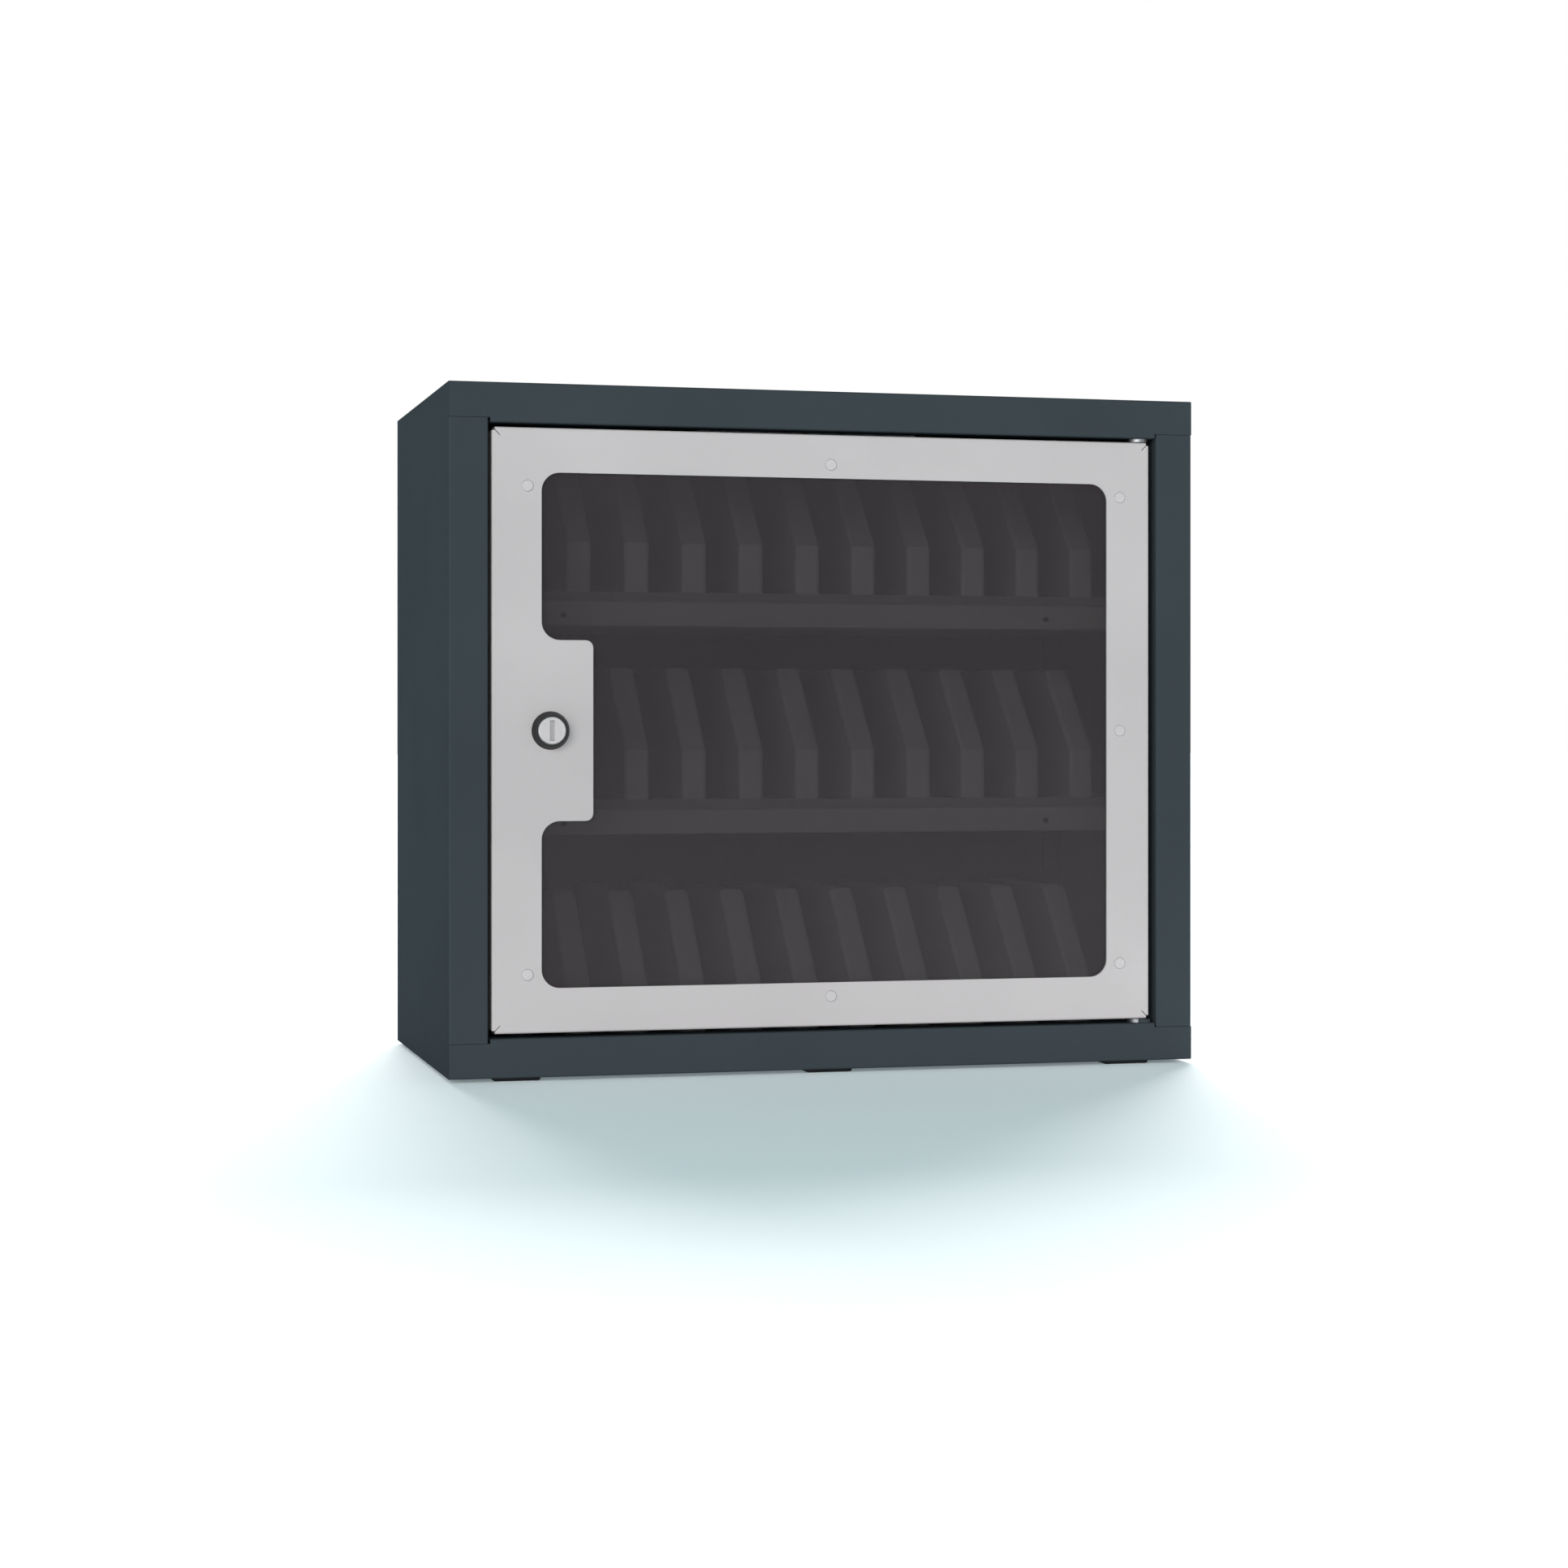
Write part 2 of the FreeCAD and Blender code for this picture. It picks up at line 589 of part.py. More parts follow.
def divider_row(label, base, rise, run):
    """A row of hollow dividers with sloping fronts, open below."""
    body = new_body(label)
    half = f"(bay_pitch * {(COLUMNS - 1) / 2})"
    front, back, wall = "divider_front", "divider_back", "divider_wall"
    shell = side_sketch(body, f"-{half}")
    outline(shell, [
        (depth(front), level(base)), (depth(back), level(base)),
        (depth(back), level(f"({base} + {rise})")),
        (depth(f"({front} + {run})"), level(f"({base} + {rise})")),
        (depth(front), level(f"({base} + divider_knee)")),
    ])
    pad(body, shell, "divider_width", side="Symmetric")
    dress(body, "Fillet", "divider_round",
          lambda edge: abs(edge.tangentAt(edge.FirstParameter).x) < 1e-6
          and edge.CenterOfMass.y < value(depth(f"({back} - overrun)"))
          and edge.CenterOfMass.z > value(level(f"({base} + overrun)")))
    hollow = side_sketch(body, f"-{half}")
    outline(hollow, [
        (depth(f"({front} + {wall})"), level(base)), (depth(f"({back} - {wall})"), level(base)),
        (depth(f"({back} - {wall})"), level(f"({base} + {rise} - {wall})")),
        (depth(f"({front} + {run} + hollow_top_set)"), level(f"({base} + {rise} - {wall})")),
        (depth(f"({front} + {wall})"), level(f"({base} + divider_knee - hollow_knee_set)")),
    ])
    pocket(body, hollow, f"divider_width - 2 * {wall}", side="Symmetric")
    spread(body, f"2 * {half}", COLUMNS)
    return body


# ---- charging electronics ----------------------------------------------------------------------

def charger_board(floor):
    """A circuit board on posts, with a coil for each bay."""
    low = f"({floor} + board_level)"
    top = f"({low} + board_thick)"
    pieces = [box("-board_half_length", "board_half_length", depth("board_front"), depth("board_back"),
                  level(low), level(top))]
    for across in (-1, 0, 1):
        for back in ("board_front + post_inset", "board_back - post_inset"):
            pieces.append(cylinder("z", f"{across} * (board_half_length - post_end_inset)",
                                   depth(f"({back})"), level(floor), "post_radius", "board_level"))
    for bay in range(COLUMNS - 1):
        middle = f"({bay - (COLUMNS - 2) / 2} * bay_pitch)"
        pieces.append(box(f"{middle} - coil_size / 2", f"{middle} + coil_size / 2",
                          depth("(coil_back)"), depth("(coil_back + coil_size)"),
                          level(top), level(f"({top} + coil_height)")))
    return fuse(pieces)


def usb_ports(label, base):
    """A charging socket with a contact tongue at the back of each bay."""
    body = new_body(label)
    first = f"(-bay_pitch * {(COLUMNS - 2) / 2})"
    front = depth("(port_back - port_depth)")
    face = front_sketch(body, front)
    rectangle(face, f"{first} - port_width / 2", f"{first} + port_width / 2",
              level(base), level(f"({base} + port_height)"))
    pad(body, face, "port_depth", reverse=True)
    mouth = front_sketch(body, front)
    rectangle(mouth, f"{first} - port_width / 2 + port_wall", f"{first} + port_width / 2 - port_wall",
              level(f"({base} + port_wall)"), level(f"({base} + port_height - port_wall)"))
    pocket(body, mouth, "port_depth - port_floor")
    tongue = front_sketch(body, depth("(port_back - port_floor)"))
    rectangle(tongue, f"{first} - tongue_width / 2", f"{first} + tongue_width / 2",
              level(f"({base} + tongue_level)"), level(f"({base} + tongue_level + tongue_height)"))
    pad(body, tongue, "port_depth - 2 * port_floor")
    spread(body, f"-2 * {first}", COLUMNS - 1)
    return body


def power_supply():
    """The supply hangs under the top sheet, its sides slotted for air."""
    low, high = level("(cab_height - sheet - supply_height)"), level("(cab_height - sheet)")
    case = box("supply_left", "supply_right", depth("supply_front"), depth("supply_back"), low, high)
    slots = []
    for slot in range(VENTS):
        left = f"(supply_left + vent_start + {slot} * vent_pitch)"
        slots.append(box(left, f"{left} + vent_width", depth("supply_front - overrun"),
                         depth("supply_front + vent_depth"), f"{low} + vent_low", f"{high} - vent_high"))
    for across, back in supply_screw_places():
        slots.append(cylinder("z", across, depth(f"({back})"), f"{high} - flat_screw_length + sheet",
                              "flat_screw_radius", "flat_screw_length"))
    return cut(case, slots)


def supply_screws():
    screws = []
    for across, back in supply_screw_places():
        place_y = depth(f"({back})")
        shank = cylinder("z", across, place_y, level("(cab_height - flat_screw_length)"),
                         "flat_screw_radius", "flat_screw_length - flat_screw_sink")
        head = cone("z", across, place_y, level("(cab_height - flat_screw_sink)"), "flat_screw_radius",
                    "flat_screw_head", "flat_screw_sink")
        slot = box(f"{across} - drive_reach", f"{across} + drive_reach", f"{place_y} - drive_half",
                   f"{place_y} + drive_half", level("(cab_height - drive_depth)"),
                   level("(cab_height + overrun)"))
        screws.append(cut(fuse([shank, head]), [slot]))
    return fuse(screws)


def power_inlet():
    """A three-pin appliance inlet set from inside into the right side."""
    wall = INNER_HALF
    middle_y, middle_z = depth("inlet_depth"), level("inlet_level")
    ears = box(f"{wall} - inlet_ear_thick", wall, f"{middle_y} - inlet_ear_width / 2",
               f"{middle_y} + inlet_ear_width / 2", f"{middle_z} - inlet_ear_height / 2",
               f"{middle_z} + inlet_ear_height / 2")
    shell = box(f"{wall} - inlet_reach", "cab_width / 2", f"{middle_y} - inlet_width / 2",
                f"{middle_y} + inlet_width / 2", f"{middle_z} - inlet_height / 2",
                f"{middle_z} + inlet_height / 2")
    recess = box("cab_width / 2 - inlet_recess", "cab_width / 2 + overrun",
                 f"{middle_y} - inlet_width / 2 + inlet_wall", f"{middle_y} + inlet_width / 2 - inlet_wall",
                 f"{middle_z} - inlet_height / 2 + inlet_wall", f"{middle_z} + inlet_height / 2 - inlet_wall")
    screws = [cylinder("x", f"{wall} - inlet_ear_thick - overrun", f"{middle_y} {sign} inlet_screw_pitch / 2",
                       middle_z, "flat_screw_radius", "inlet_ear_thick + 2 * overrun") for sign in "-+"]
    return cut(fuse([ears, shell]), [recess] + screws)


def inlet_pins():
    """The inlet's flat pins, standing in its recess."""
    middle_y, middle_z = depth("inlet_depth"), level("inlet_level")
    root = "cab_width / 2 - inlet_recess"
    pins = []
    for column, lift in ((-1, "-"), (0, "+"), (1, "-")):
        across = f"({middle_y} + {column} * inlet_pin_pitch)"
        up = f"({middle_z} {lift} inlet_pin_lift)"
        pins.append(box(root, "cab_width / 2 - inlet_pin_set_back", f"{across} - inlet_pin_thick / 2",
                        f"{across} + inlet_pin_thick / 2", f"{up} - inlet_pin_long / 2",
                        f"{up} + inlet_pin_long / 2"))
    return fuse(pins)


def inlet_screws():
    """Two flush screws that hold the inlet's ears."""
    screws = []
    for sign in "-+":
        back = f"{depth('inlet_depth')} {sign} inlet_screw_pitch / 2"
        screws.append(cut(
            cylinder("x", "cab_width / 2 - flat_screw_length", back, level("inlet_level"),
                     "flat_screw_radius", "flat_screw_length"),
            [box("cab_width / 2 - drive_depth", "cab_width / 2 + overrun", f"{back} - drive_half",
                 f"{back} + drive_half", level("(inlet_level - inlet_drive_reach)"),
                 level("(inlet_level + inlet_drive_reach)"))]))
    return fuse(screws)


# ---- hinges ------------------------------------------------------------------------------------

OPENING_LOW, OPENING_HIGH = "bottom_flange", "(cab_height - top_flange)"
DOOR_LOW, DOOR_HIGH = f"({OPENING_LOW} + door_gap_bottom)", f"({OPENING_HIGH} - door_gap_top)"
PIVOT_Y = depth("pivot_depth")


def hinge_pins():
    """Two fixed pins, through the case's returns and into the door's bushes."""
    low = level(f"({OPENING_LOW} - pin_above)")
    high = level(f"({DOOR_HIGH} - pin_below)")
    lower = cylinder("z", "pivot_across", PIVOT_Y, low, "pin_radius",
                     "pin_above + door_gap_bottom + pin_below")
    upper = cylinder("z", "pivot_across", PIVOT_Y, high, "pin_radius",
                     "pin_above + door_gap_top + pin_below")
    return fuse([lower, upper])


def hinge_washers():
    """A spacer round each pin in the gap between the case and the door."""
    washers = []
    spans = ((OPENING_LOW, "door_gap_bottom"), (f"({DOOR_HIGH} + hinge_washer_gap)", "door_gap_top"))
    for low, gap in spans:
        ring = cylinder("z", "pivot_across", PIVOT_Y, level(low), "hinge_washer_radius",
                        f"{gap} - hinge_washer_gap")
        hole = cylinder("z", "pivot_across", PIVOT_Y, level(f"{low} - overrun"), "pin_radius",
                        f"{gap} + 2 * overrun")
        washers.append(cut(ring, [hole]))
    return fuse(washers)


def hinge_tab():
    """A painted guard in front of the lower spacer."""
    disc = cylinder("z", "hinge_tab_across", depth("hinge_tab_depth"), level(OPENING_LOW),
                    "hinge_tab_radius", "door_gap_bottom - hinge_washer_gap")
    hole = cylinder("z", "pivot_across", PIVOT_Y, level(f"({OPENING_LOW} - overrun)"),
                    "hinge_washer_radius", "door_gap_bottom + 2 * overrun")
    return cut(disc, [hole])


def door_stops():
    """Two pads on the left return that the door closes against."""
    stops = []
    edge = "-(cab_width / 2 - side_flange)"
    for height in ("stop_low", "stop_high"):
        front = depth("door_recess + door_return + door_stop_gap")
        stops.append(box(edge, f"{edge} + stop_half", front, depth("flange_return"),
                         level(f"({height} - stop_half)"), level(f"({height} + stop_half)")))
    return fuse(stops)


# ---- door --------------------------------------------------------------------------------------

DOOR_LEFT = "-(cab_width / 2 - side_flange - door_gap_left)"
DOOR_RIGHT = "(cab_width / 2 - side_flange - door_gap_right)"
DOOR_FACE = depth("door_recess")
DOOR_INSIDE = depth("(door_recess + sheet)")
LOCK_X, LOCK_Z = "-lock_across", level("lock_level")


def rivet_places():
    """The seven rivets that hold the pane; the lock takes the place of an eighth."""
    corners = [(f"{side}rivet_side", height) for side in ("-", "") for height in ("rivet_low", "rivet_high")]
    return corners + [("rivet_side", "lock_level"), ("0", "rivet_centre_low"), ("0", "rivet_centre_high")]


def door_frame():
    """A folded tray, open behind, with the window and the lock's tab cut in its face."""
    body = new_body("door_frame")
    face = front_sketch(body, DOOR_FACE)
    rectangle(face, DOOR_LEFT, DOOR_RIGHT, level(DOOR_LOW), level(DOOR_HIGH))
    pad(body, face, "door_return", reverse=True)
    dress(body, "Fillet", "door_bend",
          lambda edge: abs(edge.CenterOfMass.y - value(DOOR_FACE)) < 1e-4)

    hollow = front_sketch(body, DOOR_INSIDE)
    rectangle(hollow, f"({DOOR_LEFT} + sheet)", f"({DOOR_RIGHT} - sheet)",
              level(f"({DOOR_LOW} + sheet)"), level(f"({DOOR_HIGH} - sheet)"))
    pocket(body, hollow, "2 * door_return")

    window = front_sketch(body, DOOR_FACE)
    side, tab = "window_half_width", "(window_half_width - tab_width)"
    tab_low, tab_high = "(lock_level - tab_half_height)", "(lock_level + tab_half_height)"
    outline(window, [
        (f"-{side}", level("window_low"), "window_radius"), (side, level("window_low"), "window_radius"),
        (side, level("window_high"), "window_radius"), (f"-{side}", level("window_high"), "window_radius"),
        (f"-{side}", level(tab_high), "window_radius"), (f"-{tab}", level(tab_high), "tab_radius"),
        (f"-{tab}", level(tab_low), "tab_radius"), (f"-{side}", level(tab_low), "window_radius"),
    ])
    pocket(body, window, "4 * sheet", side="Symmetric")

    notches = front_sketch(body, DOOR_FACE)
    for x, inward in ((DOOR_LEFT, "+"), (DOOR_RIGHT, "-")):
        for low, up in ((DOOR_LOW, "+"), (DOOR_HIGH, "-")):
            out, down = ("-" if inward == "+" else "+"), ("-" if up == "+" else "+")
            rectangle(notches, f"({x} {out} overrun)", f"({x} {inward} door_notch)",
                      level(f"({low} {down} overrun)"), level(f"({low} {up} door_notch)"))
    pocket(body, notches, "3 * door_return", side="Symmetric")

    slits = front_sketch(body, DOOR_FACE)
    near, far, half = "door_notch - door_slit_overlap", "door_slit_reach", "door_slit_skew"
    for x, inward in ((DOOR_LEFT, "+"), (DOOR_RIGHT, "-")):
        for low, up in ((DOOR_LOW, "+"), (DOOR_HIGH, "-")):
            outline(slits, [
                (f"({x} {inward} ({near} + {half}))", level(f"({low} {up} ({near}))")),
                (f"({x} {inward} ({far} + {half}))", level(f"({low} {up} ({far}))")),
                (f"({x} {inward} ({far}))", level(f"({low} {up} ({far} + {half}))")),
                (f"({x} {inward} ({near}))", level(f"({low} {up} ({near} + {half}))")),
            ])
    pocket(body, slits, "2 * sheet + 2 * overrun", side="Symmetric")

    holes = front_sketch(body, DOOR_FACE)
    for across, height in rivet_places():
        circle(holes, across, level(height), "rivet_shank")
    circle(holes, LOCK_X, LOCK_Z, "barrel_radius")
    pocket(body, holes, "4 * sheet", side="Symmetric")

    for height in (DOOR_LOW, DOOR_HIGH):
        bushes = plan_sketch(body, level(height))
        circle(bushes, "pivot_across", PIVOT_Y, "bush_neck")
        pocket(body, bushes, "4 * sheet", side="Symmetric")
    return body


def window_pane():
    """A flat pane behind the frame, notched round the lock."""
    body = new_body("window_pane")
    face = front_sketch(body, DOOR_INSIDE)
    side, notch = "pane_half_width", "pane_notch_reach"
    low, high = "(lock_level - pane_notch_half_height)", "(lock_level + pane_notch_half_height)"
    outline(face, [
        (f"-{side}", level("pane_low")), (side, level("pane_low")),
        (side, level("pane_high")), (f"-{side}", level("pane_high")),
        (f"-{side}", level(high)), (f"-{notch}", level(high), "pane_notch_radius"),
        (f"-{notch}", level(low), "pane_notch_radius"), (f"-{side}", level(low)),
    ])
    pad(body, face, "pane_thick", reverse=True)
    holes = front_sketch(body, DOOR_INSIDE)
    for across, height in rivet_places():
        circle(holes, across, level(height), "rivet_shank")
    pocket(body, holes, "3 * pane_thick", side="Symmetric")
    return body


def window_rivets():
    """Low flat rivet heads with bevelled rims, on shanks through the frame and the pane."""
    rivets = []
    for across, height in rivet_places():
        head = cone("y", across, f"{DOOR_FACE} - rivet_rise", level(height), "rivet_face_radius",
                    "rivet_radius", "rivet_rise")
        shank = cylinder("y", across, DOOR_FACE, level(height), "rivet_shank",
                         "sheet + pane_thick + washer_thick")
        rivets.append(fuse([head, shank]))
    return fuse(rivets)


def rivet_washers():
    washers = []
    back = depth("(door_recess + sheet + pane_thick)")
    for across, height in rivet_places():
        ring = cylinder("y", across, back, level(height), "washer_radius", "washer_thick")
        hole = cylinder("y", across, f"{back} - overrun", level(height), "rivet_shank",
                        "washer_thick + 2 * overrun")
        washers.append(cut(ring, [hole]))
    return fuse(washers)


def hinge_bushes():
    """Plain bushes in the door's top and bottom returns that turn on the fixed pins."""
    bushes = []
    bore = "(pin_radius + pin_clearance)"
    spans = (
        (DOOR_LOW, f"({DOOR_LOW} + sheet)", "bush_depth"),
        (f"({DOOR_HIGH} - sheet)", f"({DOOR_HIGH} - sheet - bush_depth)", "bush_depth"),
    )
    for web, collar, length in spans:
        sleeve = cylinder("z", "pivot_across", PIVOT_Y, level(web), "bush_neck", "sheet")
        body = cylinder("z", "pivot_across", PIVOT_Y, level(collar), "bush_radius", length)
        hole = cylinder("z", "pivot_across", PIVOT_Y, level(f"({collar} - 2 * sheet)"), bore,
                        "bush_depth + 4 * sheet")
        bushes.append(cut(fuse([sleeve, body]), [hole]))
    return fuse(bushes)


def lock_bezel():
    """The lock's conical front ring."""
    front = depth("(door_recess - bezel_rise)")
    ring = cone("y", LOCK_X, front, LOCK_Z, "bezel_face_radius", "bezel_radius", "bezel_rise")
    hole = cylinder("y", LOCK_X, f"{front} - overrun", LOCK_Z, "plug_radius + plug_clearance",
                    "bezel_rise + 2 * overrun")
    return cut(ring, [hole])


def lock_barrel():
    """The fixed tube of the lock, through the door's tab."""
    front = DOOR_FACE
    tube = cylinder("y", LOCK_X, front, LOCK_Z, "barrel_radius", "barrel_depth")
    hole = cylinder("y", LOCK_X, f"{front} - overrun", LOCK_Z, "plug_radius + plug_clearance",
                    "barrel_depth + 2 * overrun")
    return cut(tube, [hole])


def lock_nut():
    """A hexagonal nut that clamps the lock to the tab."""
    prism = doc.addObject("Part::Prism", "Prism")
    prism.Polygon = 6
    prism.setExpression("Circumradius", full("nut_corner_radius"))
    prism.setExpression("Height", full("nut_thick"))
    place(prism, LOCK_X, DOOR_INSIDE, LOCK_Z, "y")
    hole = cylinder("y", LOCK_X, f"{DOOR_INSIDE} - overrun", LOCK_Z, "barrel_radius",
                    "nut_thick + 2 * overrun")
    return cut(prism, [hole])


# ---- lock plug and cam -------------------------------------------------------------------------

CAM_FRONT = depth("cam_start")


def lock_plug():
    """The turning plug: a round face, its upright key slot closed by a shutter, and a square tail."""
    body = new_body("lock_plug")
    front = depth("-lock_reach")
    disc = front_sketch(body, front)
    circle(disc, LOCK_X, LOCK_Z, "plug_radius")
    pad(body, disc, "lock_reach + cam_start", reverse=True)
    dress(body, "Chamfer", "plug_chamfer", lambda edge: abs(edge.CenterOfMass.y - value(front)) < 1e-4)
    key = front_sketch(body, front)
    rectangle(key, f"({LOCK_X} - key_width / 2)", f"({LOCK_X} + key_width / 2)",
              f"({LOCK_Z} - key_height / 2)", f"({LOCK_Z} + key_height / 2)")
    pocket(body, key, "key_depth")
    tail = front_sketch(body, CAM_FRONT)
    rectangle(tail, f"({LOCK_X} - cam_square / 2)", f"({LOCK_X} + cam_square / 2)",
              f"({LOCK_Z} - cam_square / 2)", f"({LOCK_Z} + cam_square / 2)")
    pad(body, tail, "cam_thick", reverse=True)
    return body


def lock_cam():
    """The latch arm, hanging down while the door is unlocked."""
    body = new_body("lock_cam")
    arm = front_sketch(body, CAM_FRONT)
    half = "cam_width / 2"
    outline(arm, [
        (f"({LOCK_X} - {half})", f"({LOCK_Z} - cam_length)", "cam_tip_round"),
        (f"({LOCK_X} + {half})", f"({LOCK_Z} - cam_length)", "cam_tip_round"),
        (f"({LOCK_X} + {half})", f"({LOCK_Z} + {half})", "cam_head_round"),
        (f"({LOCK_X} - {half})", f"({LOCK_Z} + {half})", "cam_head_round"),
    ])
    pad(body, arm, "cam_thick", reverse=True)
    square = front_sketch(body, CAM_FRONT)
    rectangle(square, f"({LOCK_X} - cam_square / 2)", f"({LOCK_X} + cam_square / 2)",
              f"({LOCK_Z} - cam_square / 2)", f"({LOCK_Z} + cam_square / 2)")
    pocket(body, square, "3 * cam_thick", side="Symmetric")
    return body


def cam_screw():
    """The screw that holds the cam on the plug's tail."""
    front, back = "cam_start + cam_thick", "cam_start + cam_thick + cam_screw_head"
    head = cylinder("y", LOCK_X, depth(f"({front})"), LOCK_Z, "cam_screw_radius", "cam_screw_head")
    slot = box(f"{LOCK_X} - cam_screw_radius - overrun", f"{LOCK_X} + cam_screw_radius + overrun",
               depth(f"({back} - cam_slot_depth)"), depth(f"({back} + overrun)"),
               f"{LOCK_Z} - cam_slot_half", f"{LOCK_Z} + cam_slot_half")
    return cut(head, [slot])


# ---- assembly ----------------------------------------------------------------------------------

finish(side_panel("left_side_panel", "-"), "left_side_panel")
right_side = side_panel("right_side_panel", "")
inlet_cutout(right_side)
finish(right_side, "right_side_panel")
top = end_panel("top_panel", "cab_height", OPENING_HIGH, "-")
supply_holes(top)
finish(top, "top_panel")
finish(end_panel("bottom_panel", "0", OPENING_LOW, "+"), "bottom_panel")
finish(back_panel(), "back_panel")
finish(back_panel_screws(), "back_panel_screws")
finish(feet(), "feet")

ROWS = {
    "upper": ("upper_shelf", "(upper_shelf + sheet)", "(upper_shelf + plinth_rise)",
              "divider_rise", "divider_run"),
    "middle": ("middle_shelf", "(middle_shelf + sheet)", "(middle_shelf + plinth_rise)",
               "divider_rise", "divider_run"),
    "lower": (None, "sheet", "lower_plinth_rise", "lower_divider_rise", "lower_divider_run"),
}
for name, (shelf, floor, plinth_top, rise, run) in ROWS.items():
    if shelf:
        finish(shelf_tray(f"{name}_shelf_tray", shelf), f"{name}_shelf_tray")
    finish(plinth(f"{name}_plinth", floor, plinth_top, shelf), f"{name}_plinth")
    finish(divider_row(f"{name}_dividers", plinth_top, rise, run), f"{name}_dividers")
    finish(usb_ports(f"{name}_usb_ports", plinth_top), f"{name}_usb_ports")
    finish(charger_board(floor), f"{name}_charger_board")
finish(lip_screws(), "shelf_lip_screws")
finish(shelf_supports(), "shelf_supports")

finish(power_supply(), "power_supply")
finish(supply_screws(), "power_supply_screws")
finish(power_inlet(), "power_inlet")
finish(inlet_pins(), "power_inlet_pins")
finish(inlet_screws(), "power_inlet_screws")

finish(hinge_pins(), "hinge_pins")
finish(hinge_washers(), "hinge_washers")
finish(hinge_tab(), "hinge_tab")
finish(door_stops(), "door_stops")

finish(door_frame(), "door_frame")
finish(window_pane(), "window_pane")
finish(window_rivets(), "window_rivets")
finish(rivet_washers(), "rivet_washers")
finish(hinge_bushes(), "hinge_bushes")
finish(lock_bezel(), "lock_bezel")
finish(lock_barrel(), "lock_barrel")
finish(lock_nut(), "lock_nut")

finish(lock_plug(), "lock_plug")
finish(lock_cam(), "lock_cam")
finish(cam_screw(), "cam_screw")

doc.recompute()
failed = [item.Label for item in doc.Objects if {"Invalid", "Error"} & set(item.State)]
broken = [item.Label for item in nodes if item.Shape.isNull() or not item.Shape.isValid()]
if failed or broken:
    raise SystemExit(f"failed: {failed}, without a valid shape: {broken}")

os.makedirs("parts", exist_ok=True)
for item in nodes:
    item.Shape.exportStep(f"parts/{item.Label}.step")
print(len(nodes), "sub-parts")
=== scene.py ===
import math

import bpy
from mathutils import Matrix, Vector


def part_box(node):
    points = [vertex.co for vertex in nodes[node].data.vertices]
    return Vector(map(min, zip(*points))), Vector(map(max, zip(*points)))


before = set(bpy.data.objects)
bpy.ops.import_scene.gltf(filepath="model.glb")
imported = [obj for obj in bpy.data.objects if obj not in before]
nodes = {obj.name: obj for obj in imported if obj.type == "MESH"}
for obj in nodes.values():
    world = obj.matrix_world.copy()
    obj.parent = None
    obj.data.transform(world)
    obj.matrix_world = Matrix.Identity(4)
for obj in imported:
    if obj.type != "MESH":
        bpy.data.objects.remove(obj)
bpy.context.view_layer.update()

scene = bpy.context.scene

# Lengths are in metres, angles in degrees and lamp powers in watts. Headings run clockwise from +Y as
# seen from above. Colours are linear unless they pass through srgb().

ROWS = ("upper", "middle", "lower")

# The plug's face and its chamfer lie within this depth, and most of its key slot lies beyond it, where
# the plug is painted darker as painted shade.
PLUG_FACE_DEPTH = 0.0007
# A circuit board lies within this height of its posts' feet, and the parts on it stand above it.
BOARD_TOP = 0.0057

# Nearly all of a noise texture's values lie between these.
NOISE_LOW, NOISE_HIGH = 0.3, 0.7
BEVEL_SAMPLES = 4
# A colour Mix node has sockets of like names, so these are their places.
MIX_FIRST, MIX_SECOND, MIX_RESULT = 6, 7, 2

CAMERA_PLACE = (-0.5326, -2.0797, 0.2256)
CAMERA_HEADING = 14.38
CAMERA_LENS_MM, CAMERA_SENSOR_MM = 69.91, 36
CAMERA_SHIFT = -0.0324
CAMERA_REACH = 100

FLOOR_HALF_WIDTH = 30
FLOOR_COLOUR = (0.72, 0.73, 0.735, 1)
FLOOR_GLOW = (0.15, 0.185, 0.195, 1)

WARM_WHITE = (1.0, 0.98, 0.975)
FILL_PLACE = (0, -2.3, 0.03)
FILL_WIDTH, FILL_HEIGHT = 0.7, 0.05
FILL_SPREAD = 8
FILL_POWER = 0.085

# The sky's colour and strength go by how far a direction points backward, along +Y, and up, along +Z.
SKY_WHITE_UP_TO, SKY_COOL_FROM = 0.26, 0.5
SKY_COOL = (0.19, 0.44, 0.46, 1)
SKY_DIM = 0.5
SKY_DIM_UP_TO, SKY_BRIGHT_FROM = 0.3, 0.8
SKY_SIDES_FROM, SKY_SIDES_FULL = -0.6, -0.3
SKY_LOW_UP_TO, SKY_LOW_END = 0.08, 0.2


# ---- colour ------------------------------------------------------------------------------------

def srgb(red, green, blue):
    """A display colour, 0 to 255, as the linear colour that the shaders take."""
    def linear(channel):
        share = channel / 255
        return share / 12.92 if share <= 0.04045 else ((share + 0.055) / 1.055) ** 2.4
    return (linear(red), linear(green), linear(blue), 1.0)


def shade(colour, factor):
    """The colour, made darker or lighter by a factor."""
    return tuple(channel * factor for channel in colour[:3]) + (1.0,)


# ---- shader nodes ------------------------------------------------------------------------------

